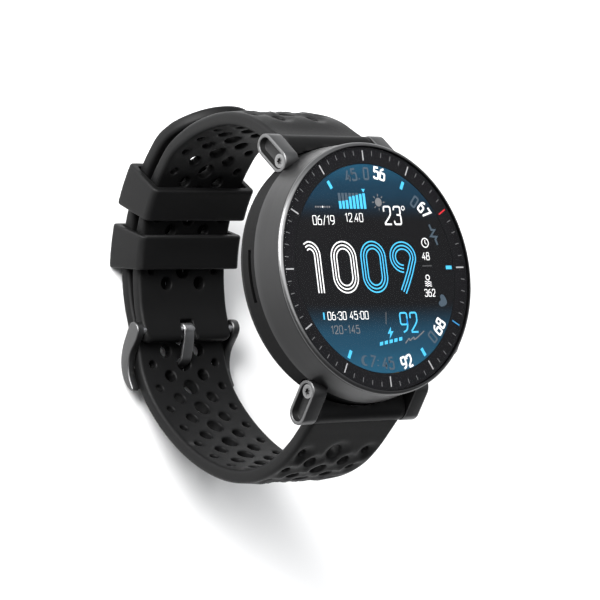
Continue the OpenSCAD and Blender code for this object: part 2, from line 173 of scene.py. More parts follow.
def catmull(points, steps, closed=False):
    """A smooth line through the given points."""
    p = np.asarray(points, float)
    n = len(p)
    out = []
    for i in range(n if closed else n - 1):
        if closed:
            a, b, c, d = p[i - 1], p[i], p[(i + 1) % n], p[(i + 2) % n]
        else:
            a, b, c, d = p[max(i - 1, 0)], p[i], p[i + 1], p[min(i + 2, n - 1)]
        for k in range(steps):
            t = k / steps
            out.append(0.5 * (2 * b + (c - a) * t + (2 * a - 5 * b + 4 * c - d) * t * t
                              + (3 * b - a - 3 * c + d) * t ** 3))
    if not closed:
        out.append(p[-1])
    return np.array(out)


class Line:
    """A line in the (y, z) plane measured by its own length, with its left-hand normal."""

    def __init__(self, points):
        self.p = np.asarray(points, float)
        steps = np.linalg.norm(np.diff(self.p, axis=0), axis=1)
        self.s = np.concatenate([[0], np.cumsum(steps)])
        self.length = self.s[-1]
        t = np.gradient(self.p, self.s, axis=0)
        self.t = t / np.linalg.norm(t, axis=1)[:, None]

    def at(self, s):
        s = np.asarray(s, float)
        inside = np.clip(s, 0, self.length)
        p = np.stack([np.interp(inside, self.s, self.p[:, k]) for k in (0, 1)], -1)
        t = np.stack([np.interp(inside, self.s, self.t[:, k]) for k in (0, 1)], -1)
        t = t / np.linalg.norm(t, axis=-1, keepdims=True)
        p = p + t * (s - inside)[..., None]
        return p, np.stack([-t[..., 1], t[..., 0]], -1)


# ---- materials ----

def node(tree, kind, **values):
    made = tree.nodes.new(kind)
    for key, value in values.items():
        if key in made.inputs:
            made.inputs[key].default_value = value
        else:
            setattr(made, key, value)
    return made


def material(name, colour, rough, metallic=0.0, specular=0.5, tone=0.12, tone_size=12.0,
             grain=0.3, grain_depth=0.01, rough_spread=0.08, stretch=(1, 1, 1), wear=0.0,
             coat=0.0, alpha=1.0, glow=None, glow_strength=0.0, ior=1.45):
    """A surface with drifting tone, fine grain in bump and roughness, and paler worn edges."""
    mat = bpy.data.materials.new(name)
    mat.use_nodes = True
    tree = mat.node_tree
    shader = tree.nodes["Principled BSDF"]
    link = tree.links.new
    place = node(tree, "ShaderNodeTexCoord")
    mapping = node(tree, "ShaderNodeMapping")
    mapping.inputs["Scale"].default_value = stretch
    link(place.outputs["Object"], mapping.inputs["Vector"])
    drift = node(tree, "ShaderNodeTexNoise", Scale=1000 / tone_size, Detail=3.0)
    link(mapping.outputs[0], drift.inputs["Vector"])
    fine = node(tree, "ShaderNodeTexNoise", Scale=1000 / grain, Detail=2.0)
    link(mapping.outputs[0], fine.inputs["Vector"])
    ramp = node(tree, "ShaderNodeValToRGB")
    low = [c * (1 - tone) for c in colour[:3]]
    high = [min(1.0, c * (1 + tone)) for c in colour[:3]]
    ramp.color_ramp.elements[0].position = 0.3
    ramp.color_ramp.elements[0].color = (*low, 1)
    ramp.color_ramp.elements[1].position = 0.7
    ramp.color_ramp.elements[1].color = (*high, 1)
    link(drift.outputs["Fac"], ramp.inputs["Fac"])
    base = ramp.outputs["Color"]
    if wear > 0:
        shape = node(tree, "ShaderNodeNewGeometry")
        edge = node(tree, "ShaderNodeMapRange")
        edge.inputs["From Min"].default_value = 0.52
        edge.inputs["From Max"].default_value = 0.62
        edge.inputs["To Max"].default_value = wear
        link(shape.outputs["Pointiness"], edge.inputs["Value"])
        worn = node(tree, "ShaderNodeMix", data_type="RGBA")
        link(edge.outputs[0], worn.inputs["Factor"])
        link(base, worn.inputs["A"])
        worn.inputs["B"].default_value = (*[min(1.0, c * 2.2 + 0.02) for c in colour[:3]], 1)
        base = worn.outputs["Result"]
    link(base, shader.inputs["Base Color"])
    spread = node(tree, "ShaderNodeMapRange")
    spread.inputs["To Min"].default_value = max(0.02, rough - rough_spread)
    spread.inputs["To Max"].default_value = min(1.0, rough + rough_spread)
    link(fine.outputs["Fac"], spread.inputs["Value"])
    link(spread.outputs[0], shader.inputs["Roughness"])
    bump = node(tree, "ShaderNodeBump", Strength=1.0)
    bump.inputs["Distance"].default_value = grain_depth * MM
    link(fine.outputs["Fac"], bump.inputs["Height"])
    link(bump.outputs[0], shader.inputs["Normal"])
    shader.inputs["Metallic"].default_value = metallic
    shader.inputs["Specular IOR Level"].default_value = specular
    shader.inputs["IOR"].default_value = ior
    shader.inputs["Coat Weight"].default_value = coat
    shader.inputs["Alpha"].default_value = alpha
    if glow:
        shader.inputs["Emission Color"].default_value = (*glow, 1)
        shader.inputs["Emission Strength"].default_value = glow_strength
    return mat


def display_material():
    """Black panel that fades to deep blue towards its top and bottom edges."""
    mat = material("display_black", (0.01, 0.01, 0.01), 0.35, specular=0.05, tone=0.0, grain_depth=0.0)
    tree = mat.node_tree
    shader = tree.nodes["Principled BSDF"]
    link = tree.links.new
    place = node(tree, "ShaderNodeTexCoord")
    split = node(tree, "ShaderNodeSeparateXYZ")
    link(place.outputs["Object"], split.inputs[0])
    lo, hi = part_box("display_panel")
    across = node(tree, "ShaderNodeMapRange")
    across.inputs["From Min"].default_value = lo.y
    across.inputs["From Max"].default_value = hi.y
    link(split.outputs["Y"], across.inputs["Value"])
    ramp = node(tree, "ShaderNodeValToRGB")
    ramp.color_ramp.interpolation = "EASE"
    stops = [(0.0, (0.018, 0.085, 0.145)), (0.16, (0.014, 0.055, 0.095)),
             (0.34, (0.0095, 0.0098, 0.0105)), (0.72, (0.0095, 0.0096, 0.0102)),
             (0.88, (0.010, 0.035, 0.062)), (1.0, (0.013, 0.065, 0.115))]
    while len(ramp.color_ramp.elements) < len(stops):
        ramp.color_ramp.elements.new(0.5)
    for element, (position, colour) in zip(ramp.color_ramp.elements, stops):
        element.position = position
        element.color = (*colour, 1)
    link(across.outputs[0], ramp.inputs["Fac"])
    link(ramp.outputs["Color"], shader.inputs["Base Color"])
    return mat


def board_material():
    """Green solder mask over paler tracks."""
    mat = material("board_green", (0.02, 0.13, 0.06), 0.4, coat=0.3)
    tree = mat.node_tree
    shader = tree.nodes["Principled BSDF"]
    link = tree.links.new
    mask = shader.inputs["Base Color"].links[0].from_socket
    place = node(tree, "ShaderNodeTexCoord")
    tracks = node(tree, "ShaderNodeTexBrick", Scale=700.0)
    tracks.inputs["Mortar Size"].default_value = 0.04
    for name, value in (("Color1", 0.0), ("Color2", 0.0), ("Mortar", 1.0)):
        tracks.inputs[name].default_value = (value, value, value, 1.0)
    link(place.outputs["Object"], tracks.inputs["Vector"])
    mix = node(tree, "ShaderNodeMix", data_type="RGBA")
    link(tracks.outputs["Color"], mix.inputs["Factor"])
    link(mask, mix.inputs["A"])
    mix.inputs["B"].default_value = (0.06, 0.28, 0.12, 1)
    link(mix.outputs["Result"], shader.inputs["Base Color"])
    return mat


FINISH = {
    "gunmetal": material("gunmetal_blasted", (0.027, 0.027, 0.0274), 0.32, metallic=1.0, tone=0.05,
                         grain=0.16, grain_depth=0.004, rough_spread=0.05, wear=0.25),
    "satin": material("satin_grey", (0.085, 0.085, 0.0855), 0.4, metallic=1.0, tone=0.06,
                      grain=0.14, grain_depth=0.003, wear=0.5),
    "rubber": material("strap_rubber", (0.0038, 0.0038, 0.0039), 0.5, specular=0.13, tone=0.18,
                       grain=0.22, grain_depth=0.012, rough_spread=0.1, wear=0.6),
    "polymer": material("rear_polymer", (0.003, 0.003, 0.0031), 0.55, specular=0.06, tone=0.12,
                        grain=0.18, grain_depth=0.008),
    "glass": material("cover_glass_clear", (0.004, 0.004, 0.005), 0.05, specular=0.2, tone=0.02,
                      grain=6.0, grain_depth=0.0, rough_spread=0.02, alpha=0.1),
    "sensor_glass": material("sensor_glass_smoked", (0.01, 0.01, 0.012), 0.08, specular=0.6, tone=0.05,
                             grain=3.0, grain_depth=0.0005, rough_spread=0.02, alpha=0.75, coat=0.5),
    "dial": material("dial_matt", (0.008, 0.008, 0.009), 0.5, specular=0.1, tone=0.1,
                     grain=0.12, grain_depth=0.004),
    "screen": display_material(),
    "board": board_material(),
    "chip": material("chip_resin", (0.012, 0.012, 0.013), 0.45, tone=0.15, grain=0.1, grain_depth=0.004),
    # painted light: a lighter copy of the satin metal for the tongue, as if it were lit from the front
    "tongue": material("tongue_painted_light", (0.24, 0.24, 0.242), 0.4, metallic=1.0, tone=0.06,
                       grain=0.14, grain_depth=0.003, wear=0.4),
    # painted highlight: a much brighter copy of the gunmetal for the thin ring round the glass, standing in
    # for the light its bevel catches
    "rim": material("rim_painted_highlight", (0.13, 0.13, 0.131), 0.34, metallic=1.0, tone=0.05,
                    grain=0.14, grain_depth=0.002),
    # painted shade: a much darker copy of the satin metal for the lug pockets, standing in for the shade
    # that falls in them
    "pocket": material("lug_pocket_painted_shade", (0.012, 0.012, 0.0122), 0.5, metallic=0.6, tone=0.05,
                       grain=0.14, grain_depth=0.003),
    "steel": material("turned_steel", (0.42, 0.42, 0.43), 0.3, metallic=1.0, tone=0.05,
                      grain=0.2, grain_depth=0.002, stretch=(0.1, 1, 1)),
    "gold": material("gold_plate", (0.75, 0.52, 0.2), 0.25, metallic=1.0, tone=0.06,
                     grain=0.15, grain_depth=0.002),
    "pouch": material("battery_foil", (0.35, 0.36, 0.38), 0.35, metallic=0.8, tone=0.08,
                      grain=1.6, grain_depth=0.03),
    "frame_plastic": material("glass_filled_plastic", (0.03, 0.03, 0.033), 0.55, tone=0.2,
                              grain=0.3, grain_depth=0.01),
    "led": material("led_lens", (0.8, 0.85, 0.8), 0.15, tone=0.05, grain=0.5, grain_depth=0.001),
}

PRINT = {}
for name, colour, tone in (("tick_grey", (0.42, 0.42, 0.43), 0.1), ("tick_red", (0.70, 0.02, 0.03), 0.08),
                           ("tick_blue", (0.03, 0.26, 0.56), 0.08), ("tick_dim", (0.16, 0.16, 0.165), 0.1)):
    PRINT[name] = material(name, colour, 0.5, tone=tone, grain=0.1, grain_depth=0.002)
for name, colour, glow, strength in (("white", (0.8, 0.8, 0.8), (1, 1, 1), 0.45),
                                     ("cyan", (0.05, 0.42, 0.72), (0.08, 0.55, 0.85), 0.4),
                                     ("grey", (0.16, 0.16, 0.165), (0.3, 0.3, 0.3), 0.15),
                                     ("dim", (0.05, 0.075, 0.10), (0.10, 0.16, 0.22), 0.15)):
    PRINT[name] = material("pixel_" + name, colour, 0.5, tone=0.03, grain=0.2, grain_depth=0.001,
                           glow=glow, glow_strength=strength)

# every CAD piece wears its own slot's finish; the screws match the lugs they sit in
slot_of = {s["node"]: s["material_slot"] for s in frame["record"]["subparts"]}
for name, obj in frame["nodes"].items():
    obj.data.materials.clear()
    obj.data.materials.append(FINISH["satin" if name == "lug_screws" else slot_of[name]])


# ---- strap ----

def arc(centre, radius, degrees):
    return [centre + radius * np.array([math.cos(math.radians(a)), math.sin(math.radians(a))])
            for a in degrees]


UPPER_LINE = Line(catmull(
    [(23.3, -9.7), (25.1, -12.2), (27.5, -15.6), (29.4, -19.6), (30.4, -24.0), (30.5, -28.5), (29.9, -33.2)]
    + [tuple(p) for p in arc(BEND_C, BEND_R, range(-32, -89, -8))]
    + [(0.3, -52.72), (-1.9, -52.42), (-4.2, -52.12)], 12))
LOWER_LINE = Line(catmull(
    [(-23.3, -9.7), (-25.2, -12.3), (-27.9, -16.2), (-30.1, -21.0), (-31.1, -26.5), (-30.6, -32.0),
     (-28.9, -37.0), (-26.2, -41.8), (-22.6, -46.2), (-18.4, -50.0), (-13.9, -52.9), (-9.6, -54.45),
     (-5.6, -54.85)]
    + [tuple(arc(BEND_C, LAYER_R + TAIL_LIFT * min(1, (a + 96) / 24), [a])[0]) for a in range(-96, -31, 8)]
    + [tuple(p + TAIL_LIFT * unit(p - BEND_C)) for p in np.array([(32.0, -35.1), (33.0, -31.7)])], 12))


def rounded_outline(corners, step=0.55):
    """Outline of a flat strap from (x, s, corner radius, edge rounding after this corner), anticlockwise.
    Gives points, outward normals and the edge rounding at each point."""
    n = len(corners)
    pts, normals, rounds = [], [], []
    for i in range(n):
        p = np.array(corners[i][:2], float)
        r = corners[i][2]
        a = unit(p - np.array(corners[i - 1][:2], float))
        b = unit(np.array(corners[(i + 1) % n][:2], float) - p)
        before, after = corners[i - 1][3], corners[i][3]
        turn = math.atan2(a[0] * b[1] - a[1] * b[0], a @ b)
        cut = r * math.tan(abs(turn) / 2)
        side = math.copysign(1.0, turn)
        centre = p - a * cut + side * r * np.array([-a[1], a[0]])
        steps = max(3, int(abs(turn) * r / step) + 3)
        for k in range(steps + 1):
            t = k / steps
            c, s = math.cos(turn * t), math.sin(turn * t)
            out = np.array([a[1], -a[0]])
            out = np.array([out[0] * c - out[1] * s, out[0] * s + out[1] * c])
            pts.append(centre + side * r * out)
            normals.append(out)
            rounds.append(before + (after - before) * t)
        following = corners[(i + 1) % n]
        q = np.array(following[:2], float)
        d = unit(np.array(corners[(i + 2) % n][:2], float) - q)
        next_turn = abs(math.atan2(b[0] * d[1] - b[1] * d[0], b @ d))
        end = q - b * following[2] * math.tan(next_turn / 2)
        start = pts[-1]
        parts = int(np.linalg.norm(end - start) / step)
        for k in range(1, parts):
            pts.append(start + (end - start) * k / parts)
            normals.append(np.array([b[1], -b[0]]))
            rounds.append(after)
    return np.array(pts), np.array(normals), np.array(rounds)


def strap_holes(first_large, large_rows, first_pair, pair_rows):
    """Centres and radii of the perforation as (x, s, radius)."""
    out = []
    for i in range(large_rows):
        s = first_large + i * HOLE_PITCH
        out.append((HOLE_LARGE[0], s, HOLE_LARGE[1]))
        out.extend((side * HOLE_SMALL[0], s, HOLE_SMALL[1]) for side in (-1, 1))
    for i in range(pair_rows):
        s = first_pair + i * HOLE_PITCH
        out.extend((side * HOLE_MEDIUM[0], s, HOLE_MEDIUM[1]) for side in (-1, 1))
    return np.array(out)


def case_room(p):
    """Moves points of the strap ends out of the round case's space."""
    z_steps = [-11.0, -10.9, -10.4, -9.65, -8.75, 1.0]
    r_steps = [0.0, 20.0, 21.15, 21.9, 22.25, 22.25]
    reach = np.interp(p[:, 2], z_steps, r_steps, left=0.0, right=0.0)
    across = np.sqrt(np.clip(reach ** 2 - p[:, 0] ** 2, 0, None))
    low = (np.abs(p[:, 1]) < across) & (reach > 0)
    p[low, 1] = np.sign(p[low, 1]) * across[low]
    return p


def inside(outline, point):
    """Whether a point lies within a closed flat outline."""
    x, y = point
    hit = False
    for a, b in zip(np.roll(outline, 1, axis=0), outline):
        if (b[1] > y) != (a[1] > y):
            cut = (a[0] - b[0]) * (y - b[1]) / (a[1] - b[1]) + b[0]
            if x < cut:
                hit = not hit
    return hit


def rise(x, start, end):
    """Rises smoothly from 0 at start to 1 at end."""
    t = np.clip((x - start) / (end - start), 0, 1)
    return t * t * (3 - 2 * t)


def lug_eye(side):
    """Loops across the strap's eye round the lug bar, which reaches in to the case."""
    steps = np.linspace(0, 2 * math.pi, 40, endpoint=False)
    inward = np.clip(-side * np.cos(steps), 0, 1)
    spread = [(-HALF_W, EYE_R - 0.5), (-HALF_W + 0.15, EYE_R - 0.15), (-HALF_W + 0.5, EYE_R)]
    spread += [(x, EYE_R) for x in np.arange(-HALF_W + 1.0, HALF_W - 0.9, 0.8)]
    spread += [(-x, r) for x, r in reversed(spread[:3])]
    eye = []
    for x, r in spread:
        ring = np.array([(x, side * LUG_FAR[0] + r * math.cos(t), LUG_FAR[1] + r * math.sin(t))
                         for t in steps])
        ring[:, 1] -= side * inward * END_REACH
        eye.append(case_room(ring))
    return eye


def build_strap(name, line, outward, corners, holes, cad_node, crown_from, crown_to, tip=0.0):
    """A perforated strap half: dished holes outside, small fillets inside and rounded long edges.
    It is crowned between two lengths. Its last length, tip, can be stretched into an oval."""
    half = STRAP_T / 2
    outline, normals, rounds = rounded_outline(corners)
    if tip:
        bend = outline[:, 1].max() - tip
        past = outline[:, 1] > bend
        outline[past, 1] = bend + (outline[past, 1] - bend) * TIP_STRETCH
        normals[past, 1] /= TIP_STRETCH
        normals /= np.linalg.norm(normals, axis=1)[:, None]
    rim = holes[:, 2] + HOLE_FILLET
    around = 26
    turn = np.linspace(0, 2 * math.pi, around, endpoint=False)
    circle = np.stack([np.cos(turn), np.sin(turn)], -1)
    top = outline - normals * rounds[:, None]

    flat = [tuple(p) for p in top]
    edges = [(i, (i + 1) % len(top)) for i in range(len(top))]
    rings = []
    for (x, s, r), big in zip(holes, rim):
        first = len(flat)
        flat.extend([tuple(p) for p in np.array([x, s]) + circle * big])
        rings.append(list(range(first, first + around)))
        edges.extend([(first + i, first + (i + 1) % around) for i in range(around)])
    s_lo, s_hi = outline[:, 1].min(), outline[:, 1].max()
    for row, s in enumerate(np.arange(s_lo, s_hi, GRID_PITCH * 0.87)):
        for x in np.arange(-HALF_W, HALF_W, GRID_PITCH) + (row % 2) * GRID_PITCH / 2:
            p = np.array([x, s])
            if np.min(np.linalg.norm(holes[:, :2] - p, axis=1) - rim) < GRID_PITCH * 0.5:
                continue
            near = np.linalg.norm(top - p, axis=1)
            k = int(near.argmin())
            if near[k] < GRID_PITCH * 0.5 or (p - top[k]) @ normals[k] > 0:
                continue
            flat.append((x, s))
    points2, _, tris, *_ = geometry.delaunay_2d_cdt([Vector(p) for p in flat], edges, [], 0, 1e-5)
    if len(points2) != len(flat):
        raise ValueError("the strap's flat pattern has crossing lines")
    flat = np.array(flat)

    kept = []
    for t in tris:
        c = flat[list(t)].mean(0)
        if np.min(np.linalg.norm(holes[:, :2] - c, axis=1) - rim) < -1e-3:
            continue
        if inside(top, c):
            kept.append(t)

    def height(xs):
        """Height of the outer face, crowned across and lowered in a dish around each hole."""
        keep = np.ones(len(xs))
        for (x, s, r), big in zip(holes, rim):
            keep *= rise(np.hypot(xs[:, 0] - x, xs[:, 1] - s) - big, 0, DISH_REACH)
        across = np.abs(xs[:, 0]) / HALF_W
        window = rise(xs[:, 1], crown_from, crown_from + CROWN_FADE)
        window *= 1 - rise(xs[:, 1], crown_to - CROWN_FADE, crown_to)
        crown = CROWN * window * (1 - across ** 3)
        return half + crown - DISH_DEPTH * (1 - keep) * (1 - rise(across, 0.78, 0.93))

    def place(xs, h):
        p, n = line.at(xs[:, 1])
        yz = p + n * (outward * np.asarray(h))[:, None]
        return case_room(np.column_stack([xs[:, 0], yz]))

    b = Build()
    h_top = height(flat)
    h_low = np.full(len(flat), -half)
    upper = b.add(place(flat, h_top))
    lower = b.add(place(flat, h_low))
    for t in kept:
        b.faces.append(tuple(upper[i] for i in t))
        b.faces.append(tuple(lower[i] for i in reversed(t)))
    n_edge = len(top)
    fillet = np.radians([18, 36, 54, 72, 90])
    rows = [upper[:n_edge]]
    for face, away, turns in ((h_top, -1, fillet), (h_low, 1, fillet[::-1])):
        for a in turns:
            inset = rounds * (1 - math.sin(a))
            xs = outline - normals * inset[:, None]
            rows.append(b.add(place(xs, face[:n_edge] + away * rounds * (1 - math.cos(a)))))
    rows.append(lower[:n_edge])
    for p, q in zip(rows, rows[1:]):
        b.bridge(q, p)
    fillet = np.radians([30, 60, 90])
    for (x, s, r), ring in zip(holes, rings):
        rows = [[upper[i] for i in ring]]
        for face, away, turns in ((h_top, -1, fillet), (h_low, 1, fillet[::-1])):
            for a in turns:
                xs = np.array([x, s]) + circle * (r + HOLE_FILLET * (1 - math.sin(a)))
                rows.append(b.add(place(xs, face[ring] + away * HOLE_FILLET * (1 - math.cos(a)))))
        rows.append([lower[i] for i in ring])
        for p, q in zip(rows, rows[1:]):
            b.bridge(p, q)
    if outward < 0:
        b.faces = [tuple(reversed(f)) for f in b.faces]
    b.stack(lug_eye(math.copysign(1.0, line.p[0][0])))
    add_mesh(name, b.points, b.faces, FINISH["rubber"], "watch", [cad_node], sharp=50)


LUG_END = [(-HALF_W, 0.0, 0.8, 0.5), (HALF_W, 0.0, 0.8, EDGE_ROUND)]
NOTCH_X = 1.4
upper_end = UPPER_LINE.length
notch_s = upper_end - 3.9
buckle_end = [
    (HALF_W, upper_end, 1.6, 1.05), (NOTCH_X, upper_end, 0.55, 0.3), (NOTCH_X, notch_s, 0.4, 0.3),
    (-NOTCH_X, notch_s, 0.4, 0.3), (-NOTCH_X, upper_end, 0.55, 1.05), (-HALF_W, upper_end, 1.6, EDGE_ROUND)]
build_strap("strap_upper_rubber", UPPER_LINE, 1, LUG_END + buckle_end, strap_holes(10.65, 10, 8.15, 11),
            "upper_strap", 1.0, 30.0)
lower_end = LOWER_LINE.length - HALF_W * (TIP_STRETCH - 1)
tip_end = [(HALF_W, lower_end, TIP_R, EDGE_ROUND), (-HALF_W, lower_end, TIP_R, EDGE_ROUND)]
build_strap("strap_lower_rubber", LOWER_LINE, -1, LUG_END + tip_end, strap_holes(8.6, 20, 11.1, 20),
            "lower_strap", 6.0, 62.0, HALF_W)


# ---- keepers ----

def rounded_rect(r0, r1, half, corner, count=8):
    """Points (radius, x) and outward normals round a rectangle with round corners."""
    pts, normals = [], []
    for cr, cx, start in ((r1 - corner, half - corner, 0), (r0 + corner, half - corner, 90),
                          (r0 + corner, -half + corner, 180), (r1 - corner, -half + corner, 270)):
        for k in range(count + 1):
            a = math.radians(start + 90 * k / count)
            n = np.array([math.cos(a), math.sin(a)])
            pts.append(np.array([cr, cx]) + corner * n)
            normals.append(n)
    return np.array(pts), np.array(normals)


def build_keeper(name, cad_node, body):
    """A loop round both layers of the strap with rounded rims."""
    inner0 = BEND_R - STRAP_T / 2 - KEEPER_GAP_IN
    inner1 = LAYER_R + TAIL_LIFT + STRAP_T / 2 + KEEPER_GAP_OUT
    half = HALF_W + KEEPER_GAP_SIDE
    outer_p, outer_n = rounded_rect(inner0 - KEEPER_T, inner1 + KEEPER_T, half + KEEPER_T, 1.2)
    inner_p, inner_n = rounded_rect(inner0, inner1, half, 0.4)
    outer_edge, inner_edge = 0.38, 0.2
    middle = math.radians(KEEPER_ANGLES[cad_node])
    half_angle = math.radians(KEEPER_SPAN / 2)
    turns = np.radians([0, 22, 45, 68, 90])

    def on_bend(r, x, a):
        return x, BEND_C[0] + r * math.cos(a), BEND_C[1] + r * math.sin(a)

    def rim(p, n, edge, end, order):
        """Loops round one rim, at the end face on the side that end tells."""
        loops = []
        for a in order:
            q = p - n * edge * (1 - math.sin(a))
            along = edge * (1 - math.cos(a))
            loops.append([on_bend(r, x, middle + math.copysign(half_angle - along / r_face, end))
                          for (r, x), (r_face, _) in zip(q, p)])
        return loops

    rows = rim(outer_p, outer_n, outer_edge, 1, turns)
    flat = half_angle - outer_edge / (BEND_R + 2)
    for t in np.arange(1, 8) / 8:
        rows.append([on_bend(r, x, middle + flat * (1 - 2 * t)) for r, x in outer_p])
    rows += rim(outer_p, outer_n, outer_edge, -1, turns[::-1])
    rows += rim(inner_p, -inner_n, inner_edge, -1, turns)
    rows += rim(inner_p, -inner_n, inner_edge, 1, turns[::-1])
    b = Build()
    loops = [b.add(r) for r in rows]
    for p, q in zip(loops, loops[1:] + loops[:1]):
        b.bridge(p, q)
    add_mesh(name, b.points, b.faces, FINISH["rubber"], body, [cad_node], sharp=60)


build_keeper("keeper_by_tip_rubber", "upper_keeper", "keeper_by_tip")
build_keeper("keeper_by_buckle_rubber", "lower_keeper", "keeper_by_buckle")


# ---- lugs ----

def stadium(a, b, r, count=24):
    """Outline of a bar with round ends between two points."""
    d = unit(b - a)
    start = math.atan2(d[1], d[0])
    ends = [(a, start + math.pi / 2), (b, start - math.pi / 2)]
    out = []
    for centre, first in ends:
        for k in range(count + 1):
            t = first + math.pi * k / count
            out.append(centre + r * np.array([math.cos(t), math.sin(t)]))
    return np.array(out)


def build_lug(name, sx, sy):
    """A link with rounded rims and a pocket in its outer face, from (depth, radius) steps; the pocket is
    painted dark as shade.
    """
    rim = LUG_R - LUG_RIM
    rim_edge = 0.15
    profile = []
    for a in np.radians([0, 30, 60, 90]):
        profile.append((LUG_EDGE * (1 - math.cos(a)), LUG_R - LUG_EDGE * (1 - math.sin(a))))
    for a in np.radians([90, 60, 30, 0]):
        profile.append((LUG_T - LUG_EDGE * (1 - math.cos(a)), LUG_R - LUG_EDGE * (1 - math.sin(a))))
    for a in np.radians([0, 30, 60, 90]):
        profile.append((LUG_T - rim_edge * (1 - math.cos(a)), rim + rim_edge * (1 - math.sin(a))))
    walls = len(profile)
    profile += [(LUG_T - LUG_POCKET + 0.1, rim - 0.04), (LUG_T - LUG_POCKET, rim - 0.14)]
    rows = []
    for x, r in profile:
        outline = stadium(LUG_NEAR, LUG_FAR, r)
        rows.append([(sx * (LUG_X + x), sy * y, z) for y, z in outline])
    b = Build()
    b.stack(rows)
    if sx * sy < 0:
        b.faces = [tuple(reversed(f)) for f in b.faces]
    link = add_mesh("lug_link_" + name, b.points, b.faces, FINISH["satin"], "watch", [name + "_lug"],
                    sharp=50)
    # the pocket's walls and floor wear the painted shade
    link.data.materials.append(FINISH["pocket"])
    for face in link.data.polygons:
        if face.index >= (walls - 1) * len(rows[0]):
            face.material_index = 1


for name, sx, sy in (("upper_left", -1, 1), ("upper_right", 1, 1),
                     ("lower_left", -1, -1), ("lower_right", 1, -1)):
    build_lug(name, sx, sy)


# ---- bright rim round the glass, a painted highlight ----

def build_rim():
    """A thin ring of brighter metal that lies on the front band's bevelled rim, a painted highlight along
    its edge.
    """
    crest = (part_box("bezel_band")[1].z - DIAL[2]) / MM
    profile = [(20.95, crest + 0.02), (21.21, crest - 0.02), (21.52, 0.11), (21.56, -0.06),
               (21.55, -0.06), (21.505, 0.105), (21.2, crest - 0.035), (20.95, crest + 0.005)]
    turns = np.linspace(0, 2 * math.pi, 180, endpoint=False)
    b = Build()
    loops = [b.add([(r * math.cos(t), r * math.sin(t), z) for t in turns]) for r, z in profile]
    for p, q in zip(loops, loops[1:] + loops[:1]):
        b.bridge(q, p)
    add_mesh("bezel_rim_painted_highlight", b.points, b.faces, FINISH["rim"], "watch", sharp=60)


build_rim()


# ---- buckle ----

# outlines and the tongue's middle line as (y, z)
ARM_OUTLINE = [
    (-0.30, -52.35), (-0.45, -51.75), (-0.85, -51.25), (-1.45, -50.95), (-2.15, -50.92), (-2.85, -51.20),
    (-3.50, -51.72), (-4.30, -52.55), (-5.30, -53.58), (-6.50, -54.38), (-8.00, -54.90), (-9.50, -55.00),
    (-10.80, -54.75), (-12.00, -54.40), (-12.35, -54.60), (-12.30, -55.05), (-11.75, -55.75),
    (-11.00, -56.30), (-10.00, -56.72), (-8.60, -57.00), (-7.20, -56.98), (-5.60, -56.55), (-4.00, -55.80),
    (-2.50, -54.75), (-1.20, -53.70), (-0.55, -53.05)]
FRONT_OUTLINE = [
    (-8.35, -55.95), (-9.60, -55.85), (-10.60, -55.62), (-11.40, -55.32), (-11.95, -55.35),
    (-11.75, -55.75), (-11.00, -56.30), (-10.00, -56.72), (-8.60, -57.00), (-8.20, -56.85), (-8.10, -56.30)]
FRONT_MIDDLE = [(-9.15, -55.9), (-9.6, -55.85), (-10.6, -55.62), (-11.4, -55.32), (-11.9, -55.45),
                (-11.65, -55.85), (-11.2, -56.15), (-9.15, -56.15)]
TONGUE_LINE = [
    (-2.0, -51.22), (-3.2, -51.42), (-4.8, -52.00), (-6.2, -52.60), (-7.2, -53.15), (-7.75, -54.00),
    (-8.0, -55.00), (-8.2, -55.85), (-8.75, -56.50), (-9.8, -56.67), (-11.0, -56.60)]


def area_of(outline):
    """Area of a closed outline, positive when it runs anticlockwise."""
    ahead = np.roll(outline, -1, axis=0)
    return 0.5 * np.sum(outline[:, 0] * ahead[:, 1] - ahead[:, 0] * outline[:, 1])


def inset_loop(points, amount):
    """The outline moved inwards along its own normals."""
    p = np.asarray(points, float)
    t = np.roll(p, -1, axis=0) - np.roll(p, 1, axis=0)
    t /= np.linalg.norm(t, axis=1)[:, None]
    n = np.stack([-t[:, 1], t[:, 0]], -1) * math.copysign(1.0, area_of(p))
    return p + n * amount


def plate(build, outline, x0, x1, edge):
    """A flat plate across X with rounded rims."""
    rows = []
    fillet = np.radians([0, 30, 60, 90])
    for x, away, turns in ((x0, 1, fillet), (x1, -1, fillet[::-1])):
        for a in turns:
            loop = inset_loop(outline, edge * (1 - math.sin(a)))
            rows.append([(x + away * edge * (1 - math.cos(a)), y, z) for y, z in loop])
    if area_of(outline) < 0:
        rows = [list(reversed(r)) for r in rows]
    build.stack(rows)


def build_buckle():
    """Two arms and a front bar, which is thinner in the middle where the tongue lies."""
    b = Build()
    arm = catmull(ARM_OUTLINE, 4, closed=True)
    front = catmull(FRONT_OUTLINE, 4, closed=True)
    inner = HALF_W + ARM_GAP
    plate(b, arm, inner, inner + ARM_T, 0.32)
    plate(b, arm, -inner - ARM_T, -inner, 0.32)
    groove = TONGUE_W / 2 + GROOVE_GAP
    into_arm, into_front = 0.2, 0.1
    plate(b, front, -inner - into_arm, -groove, 0.12)
    plate(b, front, groove, inner + into_arm, 0.12)
    plate(b, np.array(FRONT_MIDDLE), -groove - into_front, groove + into_front, 0.02)
    add_mesh("buckle_satin", b.points, b.faces, FINISH["satin"], "buckle", ["buckle_frame"],
             sharp=55)


